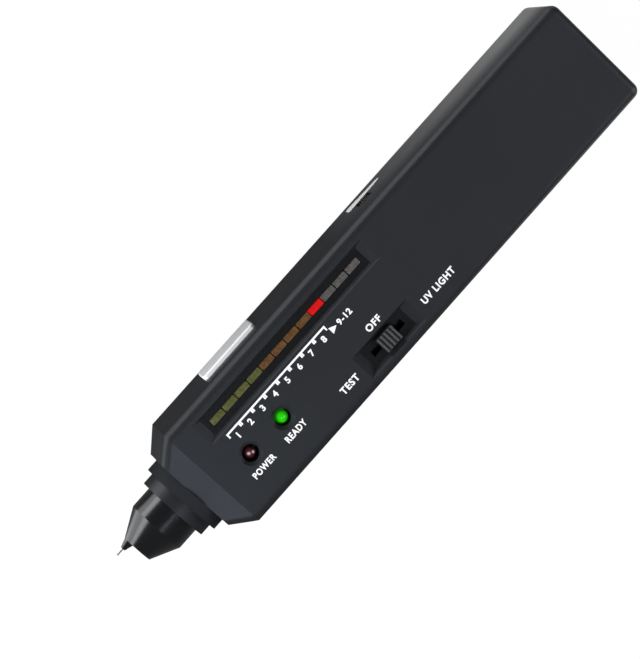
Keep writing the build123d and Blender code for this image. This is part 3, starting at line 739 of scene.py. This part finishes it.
# Touch plate with rounded corners and edges, and the tab that holds it in the casing
plate_low, plate_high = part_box("touch_plate")
plate_corner = 1.2 * MM
plate_edge = 0.42 * MM
pocket_y = side_y - 0.8 * MM
plate_block = soft_block(
    (plate_low[0], plate_low[2], pocket_y),
    (plate_high[0], plate_high[2], plate_high[1]),
    plate_corner,
    plate_edge,
    sideways,
)
plate = mesh_piece("touch_plate_face", plate_block, "casing", "plate_metal", 40)
tab_x = (plate_low[0] + plate_high[0]) / 2
tab_half = 1.5 * MM
tab_foot = 8.9 * MM
tab_top = 9.7 * MM
tab_block = soft_block(
    (tab_x - tab_half, plate_low[1], tab_foot),
    (tab_x + tab_half, pocket_y, tab_top),
    slight_corner,
    slight_edge,
    upright,
)
mesh_piece("touch_plate_tab", tab_block, "casing", "plate_metal", 40)
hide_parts("touch_plate")


def circle(x, y, z, radius, count):
    """The points of a level circle, in order."""
    return [
        (x + radius * math.cos(2 * math.pi * i / count), y + radius * math.sin(2 * math.pi * i / count), z)
        for i in range(count)
    ]


def lamp_shape(low, high, flange_length, radius):
    """A round lamp standing upright, with a flange at its foot and a full dome on top."""
    x = (low[0] + high[0]) / 2
    y = (low[1] + high[1]) / 2
    flange = (high[0] - low[0]) / 2
    shoulder = low[2] + flange_length
    tip_share = 0.02
    profile = [(flange, low[2]), (flange, shoulder), (radius, shoulder)]
    for turn in range(0, 90, 6):
        angle = math.radians(turn)
        profile.append((radius * math.cos(angle), high[2] - radius + radius * math.sin(angle)))
    profile.append((radius * tip_share, high[2]))
    return stacked([circle(x, y, z, r, 64) for r, z in profile])


dome_flange = 0.8 * MM
dome_radius = 1.6 * MM
for lamp_name in ("power_lamp", "ready_lamp"):
    low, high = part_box(lamp_name)
    lamp_block = lamp_shape(low, high, dome_flange, dome_radius)
    dome = mesh_piece(f"{lamp_name}_dome", lamp_block, "casing", node_slot[lamp_name], 50)
    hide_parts(lamp_name)


def coil_shape(low, high, turns, wire):
    """A coil of round wire along X that fills a box."""
    y = (low[1] + high[1]) / 2
    z = (low[2] + high[2]) / 2
    radius = (high[1] - low[1]) / 2 - wire
    start, length = low[0] + wire, high[0] - low[0] - 2 * wire
    steps = turns * 24
    wire_sides = 8
    rings = []
    for step in range(steps + 1):
        angle = 2 * math.pi * turns * step / steps
        outward = Vector((0.0, math.cos(angle), math.sin(angle)))
        along = Vector((length / (2 * math.pi * turns), -radius * outward.z, radius * outward.y)).normalized()
        aside = along.cross(outward)
        middle = Vector((start + length * step / steps, y, z)) + radius * outward
        ring = []
        for side in range(wire_sides):
            around = 2 * math.pi * side / wire_sides
            ring.append(tuple(middle + wire * (math.cos(around) * outward + math.sin(around) * aside)))
        rings.append(ring)
    return stacked(rings)


# The needle's spring, as a coil of round wire
spring_low, spring_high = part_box("probe_spring")
spring_turns = 9
spring_wire = 0.12 * MM
spring_block = coil_shape(spring_low, spring_high, spring_turns, spring_wire)
spring = mesh_piece("probe_spring_coil", spring_block, "casing", "spring_steel", 60)
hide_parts("probe_spring")
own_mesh(spring)


def soften_edges(node_name, width):
    """Round off the sharp edges of a turned piece."""
    softened = nodes[node_name].modifiers.new("softened_edges", "BEVEL")
    softened.width = width
    softened.segments = 3
    softened.limit_method = "ANGLE"
    softened.angle_limit = math.radians(40)


collar_edge = 0.28 * MM
soften_edges("nose_collar", collar_edge)


def thumbwheel_shape(low, high, teeth, depth, hub):
    """A wheel with rounded milled teeth, softened rims and a bore for its pin."""
    x = (low[0] + high[0]) / 2
    y = (low[1] + high[1]) / 2
    outer = (high[1] - low[1]) / 2
    rim = 0.15 * MM
    points_per_tooth = 8
    flank_power = 0.6
    count = teeth * points_per_tooth
    shape = bmesh.new()
    loops = []
    for z, inset in [(low[2], rim), (low[2] + rim, 0.0), (high[2] - rim, 0.0), (high[2], rim)]:
        loop = []
        for index in range(count):
            angle = 2 * math.pi * index / count
            wave = math.cos(teeth * angle)
            cut = depth * (1 - math.copysign(abs(wave) ** flank_power, wave)) / 2
            radius = outer - inset - cut
            loop.append(shape.verts.new((x + radius * math.cos(angle), y + radius * math.sin(angle), z)))
        loops.append(loop)
    hub_loops = [[shape.verts.new(point) for point in circle(x, y, z, hub, count)] for z in (low[2], high[2])]
    rows = [hub_loops[0]] + loops + [hub_loops[1], hub_loops[0]]
    for first, second in zip(rows, rows[1:]):
        for i in range(count):
            j = (i + 1) % count
            shape.faces.new((first[i], first[j], second[j], second[i]))
    return shape


wheel_low, wheel_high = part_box("thumbwheel")
wheel_teeth = 72
tooth_depth = 0.32 * MM
wheel_bore = 2.05 * MM
wheel_block = thumbwheel_shape(wheel_low, wheel_high, wheel_teeth, tooth_depth, wheel_bore)
wheel = mesh_piece("thumbwheel_rim", wheel_block, "wheel", "button_plastic", 35)
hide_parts("thumbwheel")


def knob_shape(low, high, ridges, ridge_width, ridge_height, groove_end):
    """A switch knob whose top is a row of rounded ridges, shaped as a height field."""
    length = high[0] - low[0]
    pitch = (length - ridge_width) / (ridges - 1)
    across = 96
    along = 22
    edge = 0.35 * MM
    shape = bmesh.new()
    grid = []
    for i in range(across + 1):
        x = low[0] + length * i / across
        nearest = min(abs(x - (low[0] + ridge_width / 2 + k * pitch)) for k in range(ridges))
        groove = min(1.0, max(0.0, (nearest - ridge_width * 0.34) / (ridge_width * 0.28)))
        groove = groove * groove * (3 - 2 * groove)
        end_x = min(x - low[0], high[0] - x)
        drop_x = edge - math.sqrt(max(0.0, edge * edge - max(0.0, edge - end_x) ** 2))
        row = []
        for j in range(along + 1):
            y = low[1] + (high[1] - low[1]) * j / along
            end_y = min(y - low[1], high[1] - y)
            drop_y = edge - math.sqrt(max(0.0, edge * edge - max(0.0, edge - end_y) ** 2))
            fade = min(1.0, end_y / groove_end)
            z = high[2] - groove * ridge_height * fade - max(drop_x, drop_y)
            row.append(shape.verts.new((x, y, z)))
        grid.append(row)
    for i in range(across):
        for j in range(along):
            shape.faces.new((grid[i][j], grid[i + 1][j], grid[i + 1][j + 1], grid[i][j + 1]))
    border = [grid[i][0] for i in range(across + 1)]
    border += [grid[across][j] for j in range(1, along + 1)]
    border += [grid[i][along] for i in range(across - 1, -1, -1)]
    border += [grid[0][j] for j in range(along - 1, 0, -1)]
    foot = [shape.verts.new((v.co.x, v.co.y, low[2])) for v in border]
    for i in range(len(border)):
        j = (i + 1) % len(border)
        shape.faces.new((border[j], border[i], foot[i], foot[j]))
    shape.faces.new(foot)
    return shape


knob_low, knob_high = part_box("switch_button")
knob_base = front_z - 1.7 * MM
knob_ridges = 5
ridge_width = 0.72 * MM
ridge_height = 0.4 * MM
groove_end = 0.25 * MM
knob_block = knob_shape(
    (knob_low[0], knob_low[1], knob_base), knob_high, knob_ridges, ridge_width, ridge_height, groove_end
)
knob = mesh_piece("switch_knob_ribs", knob_block, "switch_knob", "button_plastic", 50)
stem_x = (knob_low[0] + knob_high[0]) / 2
stem_y = (knob_low[1] + knob_high[1]) / 2
stem_half_length = 1.0 * MM
stem_half_width = 0.8 * MM
stem_block = soft_block(
    (stem_x - stem_half_length, stem_y - stem_half_width, knob_low[2]),
    (stem_x + stem_half_length, stem_y + stem_half_width, knob_base),
    slight_corner,
    slight_edge,
    upright,
)
mesh_piece("switch_stem", stem_block, "switch_knob", "button_plastic", 40)
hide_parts("switch_button")


# Printed legends on the front face

INK_RISE = 0.012 * MM
INK_THICKNESS = 0.012 * MM
INK_WEIGHT = 0.036
LETTER_SPACING = 1.16
ink_z = front_z + INK_RISE


def legend(name, words, x_start, x_end, y, height):
    """Words printed between two places along X; with no end they keep their own width about the start."""
    curve = bpy.data.curves.new(name, "FONT")
    curve.body = words
    curve.resolution_u = 6
    curve.offset = INK_WEIGHT
    curve.space_character = LETTER_SPACING
    holder = bpy.data.objects.new(name, curve)
    scene.collection.objects.link(holder)
    flat = bpy.data.meshes.new_from_object(holder)
    bpy.data.objects.remove(holder)
    bpy.data.curves.remove(curve)
    shape = bmesh.new()
    shape.from_mesh(flat)
    bpy.data.meshes.remove(flat)
    bmesh.ops.remove_doubles(shape, verts=shape.verts, dist=1e-5)
    bmesh.ops.triangulate(shape, faces=shape.faces)
    left = min(v.co.x for v in shape.verts)
    right = max(v.co.x for v in shape.verts)
    foot = min(v.co.y for v in shape.verts)
    scale_y = height / (max(v.co.y for v in shape.verts) - foot)
    scale_x = scale_y if x_end is None else (x_end - x_start) / (right - left)
    x_origin = x_start - (left + right) / 2 * scale_x if x_end is None else x_start - left * scale_x
    for v in shape.verts:
        v.co = Vector((x_origin + v.co.x * scale_x, y + (v.co.y - foot) * scale_y, ink_z))
    bmesh.ops.recalc_face_normals(shape, faces=shape.faces)
    for face in shape.faces:
        if face.normal.z < 0:
            face.normal_flip()
    mesh = bpy.data.meshes.new(name)
    shape.to_mesh(mesh)
    shape.free()
    piece = bpy.data.objects.new(name, mesh)
    scene.collection.objects.link(piece)
    mesh.materials.append(legend_ink)
    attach(piece, "casing")
    return piece


def stroke(name, points):
    """A printed patch on the front face with a given outline."""
    shape = stacked([[(x, y, ink_z - INK_THICKNESS / 2) for x, y in points], [(x, y, ink_z) for x, y in points]])
    return mesh_piece(name, shape, "casing", "legend_ink")


def patch(x0, y0, x1, y1):
    """The corners of a rectangle, in order."""
    return [(x0, y0), (x1, y0), (x1, y1), (x0, y1)]


# The scale: pairs of ticks between the digits, with their places along X in millimetres
tick_places = [-56.0, -51.74, -47.57, -43.28, -38.87, -34.68, -30.38, -26.18, -21.87]
scale_top = 4.78 * MM
scale_line = 0.48 * MM
tick_foot = 3.45 * MM
tick_width = 0.42 * MM
tick_gap = 0.06 * MM
digit_foot = 1.74 * MM
digit_height = 1.68 * MM
digit_shift = 0.1 * MM
half_pair = (tick_width + tick_gap) / 2

stroke(
    "scale_line",
    patch(tick_places[0] * MM + half_pair, scale_top - scale_line, tick_places[-1] * MM + half_pair, scale_top),
)
for index, place in enumerate(tick_places):
    middle = place * MM + tick_width / 2
    if index > 0:
        stroke(
            f"scale_tick_{index}_end",
            patch(middle - tick_gap / 2 - tick_width, tick_foot, middle - tick_gap / 2, scale_top - scale_line),
        )
    if index < len(tick_places) - 1:
        stroke(
            f"scale_tick_{index + 1}_start",
            patch(middle + tick_gap / 2, tick_foot, middle + tick_gap / 2 + tick_width, scale_top - scale_line),
        )
for number in range(1, len(tick_places)):
    middle = (tick_places[number - 1] + tick_places[number]) / 2 * MM + digit_shift
    legend(f"scale_digit_{number}", str(number), middle, None, digit_foot, digit_height)

arrow_x = nose_end + 49.55 * MM
arrow_length = 1.9 * MM
arrow_half = 0.95 * MM
arrow_y = digit_foot + digit_height / 2
stroke(
    "scale_arrow",
    [(arrow_x, arrow_y - arrow_half), (arrow_x + arrow_length, arrow_y), (arrow_x, arrow_y + arrow_half)],
)
range_start = -19.0 * MM
range_end = -14.6 * MM
legend("scale_range", "9-12", range_start, range_end, digit_foot, digit_height)

# Words by the lamps and the switch: both ends along X, foot along Y and height, in millimetres
front_words = [
    ("power_legend", "POWER", -58.65, -51.60, -7.88, 1.68),
    ("ready_legend", "READY", -47.36, -40.85, -7.90, 1.72),
    ("off_legend", "OFF", -15.65, -11.15, -4.65, 1.82),
    ("test_legend", "TEST", -30.4, -24.75, -10.20, 1.85),
    ("uv_legend", "UV LIGHT", -1.80, 9.0, -10.24, 1.85),
]
for name, words, *places in front_words:
    legend(name, words, *(place * MM for place in places))

# White wedge on the side that shows which way the wheel turns up, as X and Z in millimetres
wedge_places = [
    (3.35, 4.6), (3.2, 5.2), (3.2, 7.3), (3.35, 7.9), (3.7, 8.2), (8.5, 7.75), (13.6, 7.3), (14.25, 6.7),
    (14.25, 6.1), (13.6, 5.5), (8.5, 4.9), (3.8, 4.3),
]
wedge_y = side_y + INK_RISE
wedge_shape = stacked(
    [
        [(x * MM, wedge_y - INK_THICKNESS / 2, z * MM) for x, z in wedge_places],
        [(x * MM, wedge_y, z * MM) for x, z in wedge_places],
    ]
)
mesh_piece("wheel_wedge", wedge_shape, "casing", "legend_ink")


# Floor and surroundings

floor_half = 3.0
floor_z = -0.02 * MM
floor_mesh = bpy.data.meshes.new("floor")
floor_mesh.from_pydata(
    [(x, y, floor_z) for x, y in patch(-floor_half, -floor_half, floor_half, floor_half)], [], [(0, 1, 2, 3)]
)
floor = bpy.data.objects.new("floor", floor_mesh)
scene.collection.objects.link(floor)


def seen_lift(tree, direct, glossy, base):
    """Strength of the pale background for rays from the camera, from gloss and through glass."""
    path = tree.nodes.new("ShaderNodeLightPath")
    straight = combined(tree, "MAXIMUM", path.outputs["Is Camera Ray"], path.outputs["Is Transmission Ray"])
    mirrored = combined(tree, "MULTIPLY", path.outputs["Is Glossy Ray"], glossy)
    total = combined(tree, "ADD", combined(tree, "MULTIPLY", straight, direct), mirrored)
    return combined(tree, "ADD", total, base)


def floor_pools(tree, near_pool, butt_pool, far_pool):
    """Painted pools of light on the floor, seen only in reflections: close to the side with the touch plate, by the
    butt and farther out.
    """
    place = object_place(tree)
    butt = ranged(tree, place["X"], -5 * MM, 65 * MM, near_pool, butt_pool)
    butt = combined(tree, "MULTIPLY", butt, ranged(tree, place["Y"], 20 * MM, 26 * MM, 1.0, 0.2))
    nearer = ranged(tree, place["X"], -100 * MM, -80 * MM, 45 * MM, 0.0)
    far = ranged(tree, combined(tree, "ADD", place["Y"], nearer), 34 * MM, 50 * MM, 0.0, far_pool)
    return combined(tree, "ADD", butt, far)


floor_material = bpy.data.materials.new("pale_floor")
floor_material.use_nodes = True
tree = floor_material.node_tree
tree.nodes.clear()
paint = tree.nodes.new("ShaderNodeBsdfDiffuse")
paint.inputs["Color"].default_value = (0.05, 0.05, 0.05, 1.0)
lift = tree.nodes.new("ShaderNodeEmission")
# The floor's glow for reflections holds painted pools of light
tree.links.new(seen_lift(tree, 0.97, floor_pools(tree, 0.05, 0.85, 1.5), 0.0), lift.inputs["Strength"])
both = tree.nodes.new("ShaderNodeAddShader")
tree.links.new(paint.outputs["BSDF"], both.inputs[0])
tree.links.new(lift.outputs["Emission"], both.inputs[1])
output = tree.nodes.new("ShaderNodeOutputMaterial")
tree.links.new(both.outputs["Shader"], output.inputs["Surface"])
floor_mesh.materials.append(floor_material)

world = bpy.data.worlds.new("studio")
scene.world = world
world.use_nodes = True
tree = world.node_tree
tree.nodes.clear()
room = tree.nodes.new("ShaderNodeBackground")
room.inputs["Color"].default_value = (0.96, 0.98, 1.0, 1.0)
tree.links.new(seen_lift(tree, 0.92, 0.0, 0.10), room.inputs["Strength"])
output = tree.nodes.new("ShaderNodeOutputWorld")
tree.links.new(room.outputs["Background"], output.inputs["Surface"])


# Lamps of the studio

def softbox(name, place, target, width, height, radiance, color=(1.0, 1.0, 1.0)):
    """A rectangular lamp of a given brightness, aimed at a point."""
    lamp = bpy.data.lights.new(name, "AREA")
    lamp.shape = "RECTANGLE"
    lamp.size = width
    lamp.size_y = height
    lamp.energy = radiance * math.pi * width * height
    lamp.color = color
    holder = bpy.data.objects.new(name, lamp)
    scene.collection.objects.link(holder)
    holder.location = place
    holder.rotation_euler = (Vector(target) - Vector(place)).to_track_quat("-Z", "Y").to_euler()
    holder.visible_camera = False
    return holder


key = softbox("key_softbox", (-0.80, 0.22, 0.60), (-0.02, 0.0, 0.01), 0.5, 0.5, 15.0)
key.visible_glossy = False
softbox("fill_softbox", (0.60, -0.60, 0.55), (0.0, 0.0, 0.01), 0.6, 0.6, 3.4)
softbox("overhead_panel", (0.48, -0.25, 1.05), (0.04, 0.0, 0.0), 0.8, 0.8, 0.4)
softbox("nose_strip", (-0.25, 0.60, 0.12), (-0.06, 0.0, 0.02), 1.2, 0.23, 3.3)
softbox("bevel_softbox", (-0.30, -0.18, 0.75), (-0.068, 0.0, 0.02), 0.14, 0.30, 7.4, (0.84, 0.90, 1.0))


# Camera where the photograph was taken from, solved from the casing's corners

camera_place = Vector((-60.2915, 135.9534, 578.2401)) * MM
camera_right = (0.664088, -0.716491, 0.213605)
camera_down = (-0.744795, -0.658937, 0.105272)
camera_ahead = (0.065326, -0.229002, -0.971232)

camera_data = bpy.data.cameras.new("camera")
camera_data.sensor_fit = "VERTICAL"
camera_data.sensor_height = 36.0
camera_data.sensor_width = 36.0
camera_data.lens = 134.477
camera_data.clip_start = 0.01
camera_data.clip_end = 20.0
camera = bpy.data.objects.new("camera", camera_data)
scene.collection.objects.link(camera)
turn = Matrix((camera_right, [-c for c in camera_down], [-c for c in camera_ahead])).transposed()
camera.matrix_world = Matrix.Translation(camera_place) @ turn.to_4x4()
scene.camera = camera

scene.view_settings.view_transform = "Standard"
